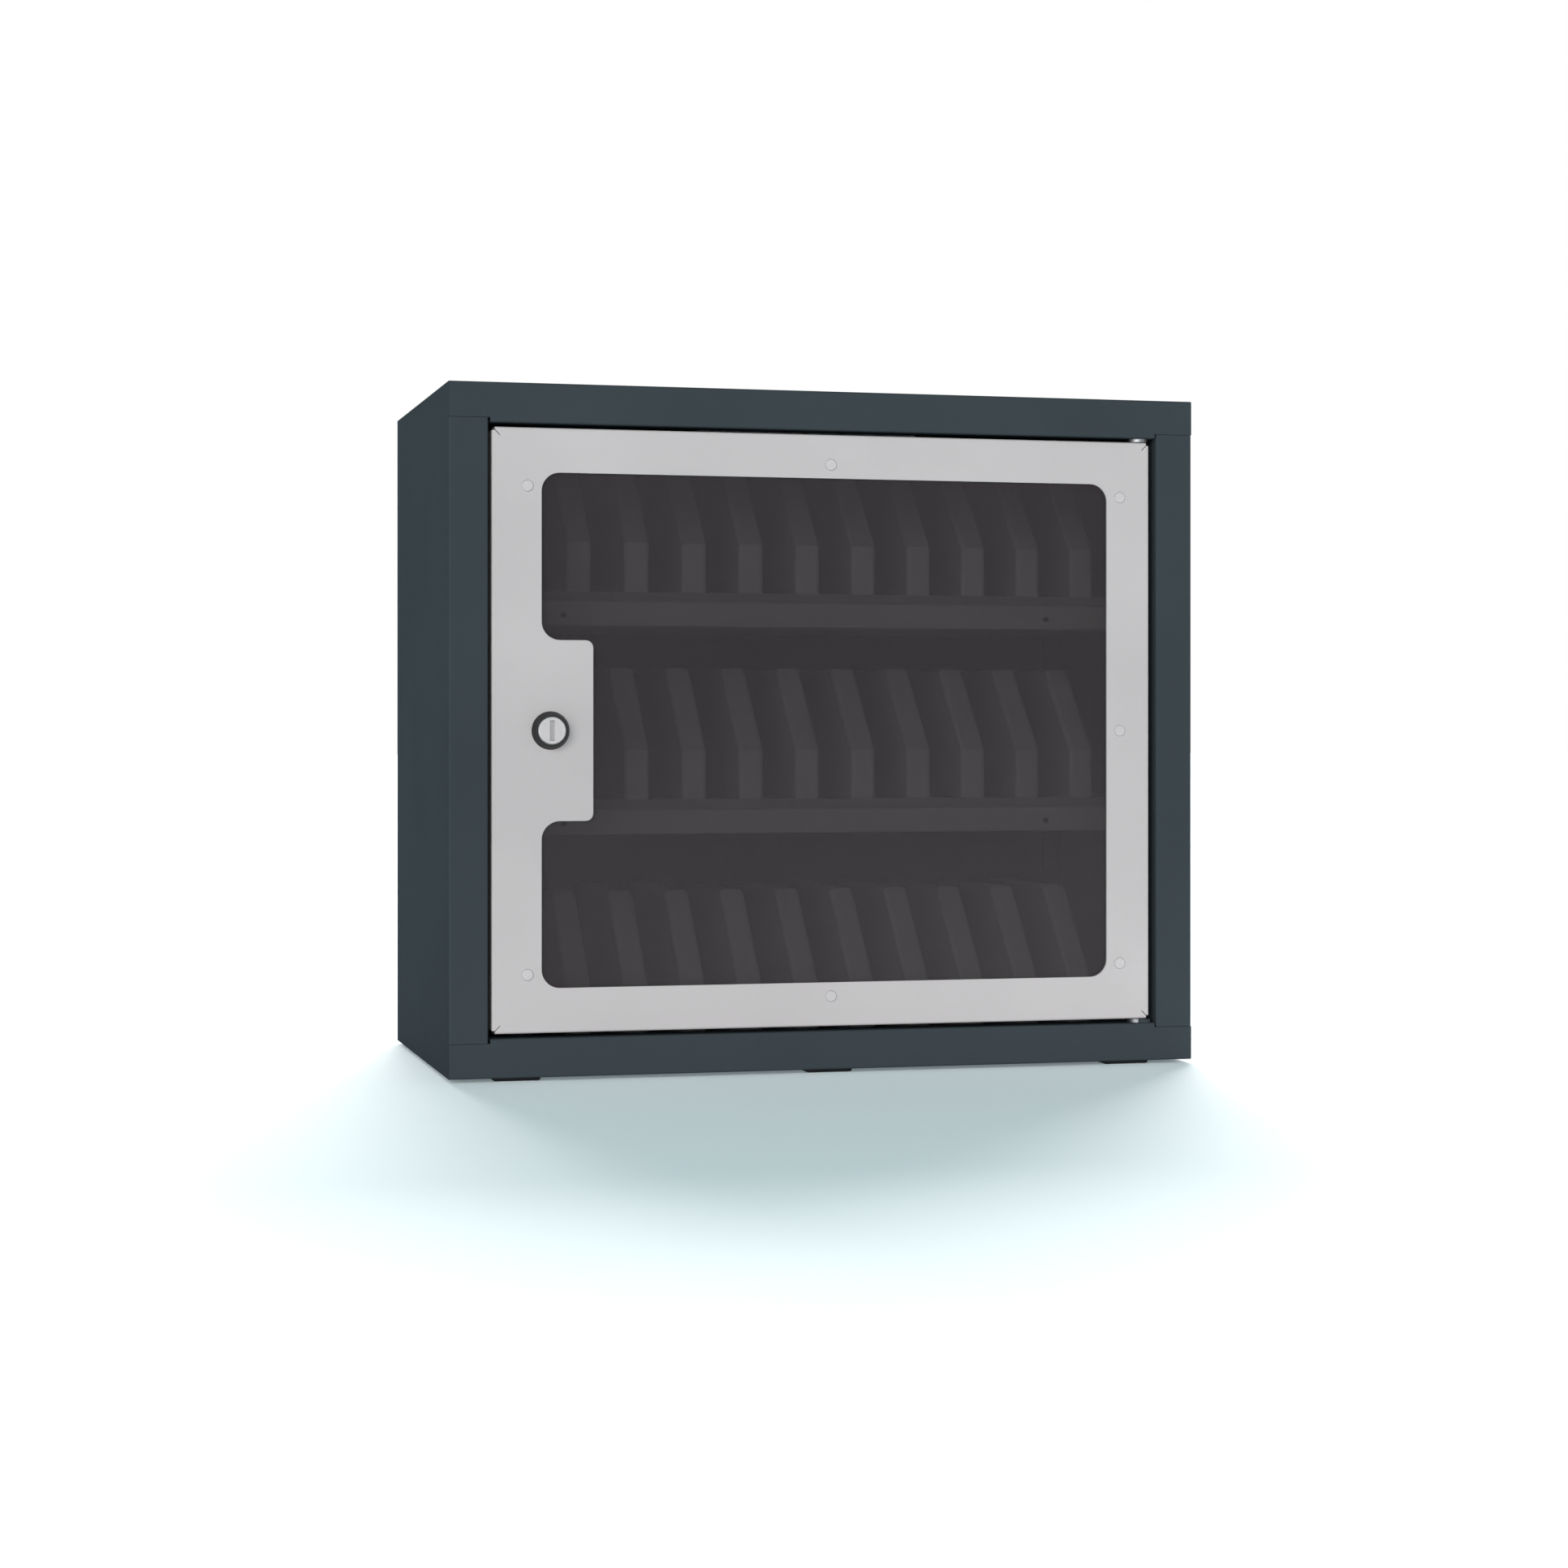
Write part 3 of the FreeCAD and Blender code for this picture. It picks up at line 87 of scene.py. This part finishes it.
class ShaderTree:
    """A tree of shader nodes, and short ways to add to it."""

    def __init__(self, tree):
        self.tree = tree

    def node(self, kind, sockets=None, **settings):
        """A new node with its own settings, and with values on its input sockets."""
        item = self.tree.nodes.new(kind)
        for name, setting in settings.items():
            setattr(item, name, setting)
        for socket, setting in (sockets or {}).items():
            item.inputs[socket].default_value = setting
        return item

    def link(self, output, socket):
        self.tree.links.new(output, socket)

    def along(self, vector, axis):
        """A vector's part along an axis."""
        axes = self.node("ShaderNodeSeparateXYZ")
        self.link(vector, axes.inputs["Vector"])
        return axes.outputs[axis]

    def combine(self, operation, first, second):
        """Two numbers, combined by a maths operation."""
        result = self.node("ShaderNodeMath", operation=operation)
        self.link(first, result.inputs[0])
        self.link(second, result.inputs[1])
        return result.outputs[0]

    def span(self, factor, start, end, low, high):
        """A number that goes from low to high as the factor goes from start to end."""
        limits = {"From Min": start, "From Max": end, "To Min": low, "To Max": high}
        remap = self.node("ShaderNodeMapRange", limits)
        self.link(factor, remap.inputs["Value"])
        return remap.outputs["Result"]

    def ramp(self, factor, start, end, first, second):
        """A colour that goes from first to second as the factor goes from start to end."""
        blend = self.node("ShaderNodeValToRGB")
        for stop, position, colour in zip(blend.color_ramp.elements, (start, end), (first, second)):
            stop.position = position
            stop.color = colour
        self.link(factor, blend.inputs["Fac"])
        return blend.outputs["Color"]


class Material(ShaderTree):
    """A Principled material and the few nodes that its surface detail is made from."""

    def __init__(self, name, **sockets):
        self.material = bpy.data.materials.new(name)
        self.material.use_nodes = True
        super().__init__(self.material.node_tree)
        self.shader = self.tree.nodes["Principled BSDF"]
        for socket, setting in sockets.items():
            self.shader.inputs[socket.replace("_", " ")].default_value = setting
        self.place = self.node("ShaderNodeTexCoord").outputs["Object"]

    def packed(self, scales):
        """Object coordinates scaled by axis, so that a texture is packed closer along some of them."""
        mapping = self.node("ShaderNodeMapping", {"Scale": scales})
        self.link(self.place, mapping.inputs["Vector"])
        return mapping.outputs["Vector"]

    def noise(self, scale, detail=2, vector=None):
        """Noise with about this many waves to the metre."""
        texture = self.node("ShaderNodeTexNoise", {"Scale": scale, "Detail": detail})
        self.link(vector or self.place, texture.inputs["Vector"])
        return texture.outputs["Fac"]

    def tint(self, noise, colour, darkest, lightest):
        """The base colour varies with the noise, from darkest to lightest times a colour."""
        varied = self.ramp(noise, NOISE_LOW, NOISE_HIGH, shade(colour, darkest), shade(colour, lightest))
        self.link(varied, self.shader.inputs["Base Color"])

    def change_beyond(self, axis, limit, colour):
        """The base colour so far becomes another one beyond a coordinate."""
        beyond = self.node("ShaderNodeMath", {1: limit}, operation="GREATER_THAN")
        self.link(self.along(self.place, axis), beyond.inputs[0])
        mix = self.node("ShaderNodeMix", {MIX_SECOND: colour}, data_type="RGBA")
        self.link(beyond.outputs[0], mix.inputs["Factor"])
        self.link(self.shader.inputs["Base Color"].links[0].from_socket, mix.inputs[MIX_FIRST])
        self.link(mix.outputs[MIX_RESULT], self.shader.inputs["Base Color"])

    def roughen(self, noise, low, high):
        """The roughness varies with the noise, from low to high."""
        self.link(self.span(noise, NOISE_LOW, NOISE_HIGH, low, high), self.shader.inputs["Roughness"])

    def relief(self, height, depth, edge=0.0):
        """Bump of a real depth, on edges that are softened by a radius."""
        bump = self.node("ShaderNodeBump", {"Distance": depth})
        self.link(height, bump.inputs["Height"])
        if edge:
            bevel = self.node("ShaderNodeBevel", {"Radius": edge}, samples=BEVEL_SAMPLES)
            self.link(bevel.outputs["Normal"], bump.inputs["Normal"])
        self.link(bump.outputs["Normal"], self.shader.inputs["Normal"])


# ---- materials ---------------------------------------------------------------------------------

def powder_coat(name, colour, roughness, specular):
    """Baked powder paint: a fine orange peel, faint clouding of the colour and of the gloss."""
    paint = Material(name, Specular_IOR_Level=specular)
    paint.tint(paint.noise(9, detail=3), colour, darkest=0.965, lightest=1.035)
    paint.roughen(paint.noise(35, detail=4), roughness - 0.04, roughness + 0.05)
    broad_peel = paint.noise(620)
    fine_peel = paint.noise(1400, detail=1)
    paint.relief(paint.combine("ADD", broad_peel, fine_peel), depth=0.00003, edge=0.0004)
    return paint.material


def moulded_plastic(name, colour, roughness, specular=0.35, grain=0.00004):
    """Injection-moulded plastic with a fine spark-eroded grain."""
    plastic = Material(name, Specular_IOR_Level=specular)
    plastic.tint(plastic.noise(14, detail=3), colour, darkest=0.94, lightest=1.06)
    plastic.roughen(plastic.noise(60, detail=3), roughness - 0.05, roughness + 0.06)
    cells = plastic.node("ShaderNodeTexVoronoi", {"Scale": 900})
    plastic.link(plastic.place, cells.inputs["Vector"])
    plastic.relief(cells.outputs["Distance"], grain, edge=0.0004)
    return plastic.material


def rubber(name, colour):
    """Matt moulded rubber, a little dusty."""
    pad = Material(name, Specular_IOR_Level=0.2)
    pad.tint(pad.noise(180, detail=5), colour, darkest=0.85, lightest=1.3)
    pad.roughen(pad.noise(90, detail=4), low=0.75, high=0.92)
    pad.relief(pad.noise(700, detail=3), depth=0.00008, edge=0.0005)
    return pad.material


def plated_metal(name, colour, roughness, packing=(1, 1, 1), shaded_recess_from=None):
    """Bare or plated metal with fine marks, packed closer along some axes, and darker in a recess.

    The recess is what lies further back than shaded_recess_from, and its darker colour there is painted
    shade.
    """
    metal = Material(name, Metallic=1.0)
    metal.tint(metal.noise(40, detail=4), colour, darkest=0.93, lightest=1.05)
    # Painted shade: beyond the given depth the base colour is darkened, as if the recess lay in shadow.
    if shaded_recess_from is not None:
        metal.change_beyond("Y", shaded_recess_from, shade(colour, 0.7))
    marks = metal.noise(450, detail=3, vector=metal.packed(packing))
    metal.roughen(marks, roughness - 0.07, roughness + 0.09)
    metal.relief(marks, depth=0.00001, edge=0.0003)
    return metal.material


def smoked_plastic(name, colour, veil):
    """Clear smoked plastic: each face hides this share of what lies behind it."""
    pane = Material(name, Alpha=veil, IOR=1.585, Specular_IOR_Level=0.15)
    pane.tint(pane.noise(5), colour, darkest=0.96, lightest=1.04)
    pane.roughen(pane.noise(26, detail=4), low=0.09, high=0.13)
    pane.relief(pane.noise(7, detail=1), depth=0.00004)
    return pane.material


def circuit_board(name, parts_from):
    """Green solder mask with fine tracks, and dark parts above a height."""
    board = Material(name, Specular_IOR_Level=0.5)
    pattern = {"Color1": srgb(22, 74, 48), "Color2": srgb(18, 62, 41), "Mortar": srgb(38, 104, 66),
               "Scale": 90, "Mortar Size": 0.03}
    tracks = board.node("ShaderNodeTexBrick", pattern)
    board.link(board.place, tracks.inputs["Vector"])
    board.link(tracks.outputs["Color"], board.shader.inputs["Base Color"])
    board.change_beyond("Z", parts_from, srgb(34, 34, 36))
    board.roughen(board.noise(120), low=0.3, high=0.42)
    board.relief(board.noise(500), depth=0.00004)
    return board.material


# ---- finishes ----------------------------------------------------------------------------------

def dress(finish, *names):
    """Give the CAD nodes of these names one finish."""
    for name in names:
        mesh = nodes[name].data
        mesh.materials.clear()
        mesh.materials.append(finish)


def in_each_row(kind):
    return [f"{row}_{kind}" for row in ROWS]


dress(powder_coat("case_paint", srgb(49, 55, 59), roughness=0.75, specular=0.0),
      "left_side_panel", "right_side_panel", "top_panel", "bottom_panel", "back_panel",
      "hinge_tab", "door_stops")
dress(powder_coat("door_paint", srgb(161, 157, 158), roughness=0.6, specular=0.12), "door_frame")
dress(powder_coat("shelf_paint", srgb(100, 96, 97), roughness=0.7, specular=0.1),
      "upper_shelf_tray", "middle_shelf_tray", "shelf_supports")
# The plinths' paint is the shelf paint made darker: painted shade for the shadow under the shelf lips.
dress(powder_coat("plinth_shaded_paint", srgb(82, 78, 80), roughness=0.72, specular=0.08),
      *in_each_row("plinth"))
dress(powder_coat("rivet_paint", srgb(165, 161, 163), roughness=0.5, specular=0.3),
      "window_rivets", "rivet_washers")

dress(moulded_plastic("divider_plastic", srgb(101, 98, 99), roughness=0.65, specular=0.2),
      *in_each_row("dividers"))
dress(moulded_plastic("lock_black", srgb(18, 18, 18), roughness=0.45, specular=0.3, grain=0.00002),
      "lock_bezel")
dress(moulded_plastic("screw_black", srgb(10, 10, 10), roughness=0.6, specular=0.1),
      "shelf_lip_screws")
dress(moulded_plastic("black_plastic", srgb(30, 30, 32), roughness=0.5),
      "power_inlet", "hinge_bushes", *in_each_row("usb_ports"))
dress(smoked_plastic("pane_plastic", srgb(59, 54, 57), veil=0.42), "window_pane")
dress(rubber("foot_rubber", srgb(24, 24, 26)), "feet")

dress(plated_metal("zinc_plate", srgb(140, 141, 144), roughness=0.5),
      "hinge_washers", "hinge_pins", "back_panel_screws", "power_supply_screws",
      "power_inlet_screws", "lock_nut", "lock_barrel", "lock_cam", "cam_screw")
# The lock plug's key slot gets painted shade: it is darker beyond the plug's face.
dress(plated_metal("lock_nickel", srgb(173, 170, 171), roughness=0.42, packing=(1, 1, 6),
                   shaded_recess_from=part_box("lock_plug")[0].y + PLUG_FACE_DEPTH),
      "lock_plug")
dress(plated_metal("supply_metal", srgb(168, 170, 173), roughness=0.45, packing=(1, 12, 1)),
      "power_supply")
dress(plated_metal("brass", srgb(214, 180, 110), roughness=0.3), "power_inlet_pins")

for row in ROWS:
    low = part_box(f"{row}_charger_board")[0].z
    dress(circuit_board(f"{row}_circuit_board", low + BOARD_TOP), f"{row}_charger_board")


# ---- floor, light and camera -------------------------------------------------------------------

def add(name, data):
    """A new object in the scene, made of a mesh, a light or a camera."""
    item = bpy.data.objects.new(name, data)
    scene.collection.objects.link(item)
    return item


def floor():
    """A pale floor that glows faintly, so that the strip under the object isn't black."""
    surface = Material("floor_white", Specular_IOR_Level=0.1, Emission_Color=FLOOR_GLOW,
                       Emission_Strength=1.0)
    surface.tint(surface.noise(0.8), FLOOR_COLOUR, darkest=0.995, lightest=1)
    surface.roughen(surface.noise(6), low=0.88, high=0.92)
    mesh = bpy.data.meshes.new("floor")
    corners = [(x * FLOOR_HALF_WIDTH, y * FLOOR_HALF_WIDTH, 0)
               for x, y in ((-1, -1), (1, -1), (1, 1), (-1, 1))]
    mesh.from_pydata(corners, [], [(0, 1, 2, 3)])
    mesh.materials.append(surface.material)
    item = add("floor", mesh)


def sky():
    """A studio dome: white low down, cooler overhead, and brighter at the back than in front.

    Low down it is as bright at the sides as at the back, so that it is white behind the object there.
    """
    world = bpy.data.worlds.new("studio")
    scene.world = world
    world.use_nodes = True
    dome = ShaderTree(world.node_tree)
    direction = dome.node("ShaderNodeTexCoord").outputs["Generated"]
    backward, upward = dome.along(direction, "Y"), dome.along(direction, "Z")

    colour = dome.ramp(upward, SKY_WHITE_UP_TO, SKY_COOL_FROM, (1, 1, 1, 1), SKY_COOL)
    back = dome.span(backward, SKY_DIM_UP_TO, SKY_BRIGHT_FROM, SKY_DIM, 1)
    sides = dome.span(backward, SKY_SIDES_FROM, SKY_SIDES_FULL, 0, 1)
    low = dome.span(upward, SKY_LOW_UP_TO, SKY_LOW_END, 1, 0)
    strength = dome.combine("MAXIMUM", back, dome.combine("MULTIPLY", low, sides))

    background = dome.tree.nodes["Background"]
    dome.link(colour, background.inputs["Color"])
    dome.link(strength, background.inputs["Strength"])


def sun(name, heading, elevation, spread, strength, colour=(1, 1, 1)):
    """A soft distant light that comes from a heading."""
    lamp = bpy.data.lights.new(name, "SUN")
    lamp.angle = math.radians(spread)
    lamp.energy = strength
    lamp.color = colour
    add(name, lamp).rotation_euler = (math.radians(elevation - 90), 0, math.radians(-heading))


def low_fill():
    """A low, narrow-beamed softbox in front, which evens out the door's lower part and gives no gloss."""
    lamp = bpy.data.lights.new("low_fill", "AREA")
    lamp.shape = "RECTANGLE"
    lamp.size = FILL_WIDTH
    lamp.size_y = FILL_HEIGHT
    lamp.spread = math.radians(FILL_SPREAD)
    lamp.energy = FILL_POWER
    lamp.color = WARM_WHITE
    item = add("low_fill", lamp)
    item.location = FILL_PLACE
    item.rotation_euler = (math.radians(90), 0, 0)
    item.visible_glossy = False
    item.visible_camera = False


def camera():
    lens = bpy.data.cameras.new("camera")
    lens.lens = CAMERA_LENS_MM
    lens.sensor_width = CAMERA_SENSOR_MM
    lens.shift_y = CAMERA_SHIFT
    lens.clip_end = CAMERA_REACH
    item = add("camera", lens)
    item.location = CAMERA_PLACE
    item.rotation_euler = (math.radians(90), 0, math.radians(-CAMERA_HEADING))
    scene.camera = item


camera()
floor()
sky()
sun("back_light", heading=15, elevation=23.5, spread=44, strength=8.2)
sun("front_light", heading=-150, elevation=6, spread=60, strength=5, colour=WARM_WHITE)
low_fill()
scene.view_settings.view_transform = "Standard"
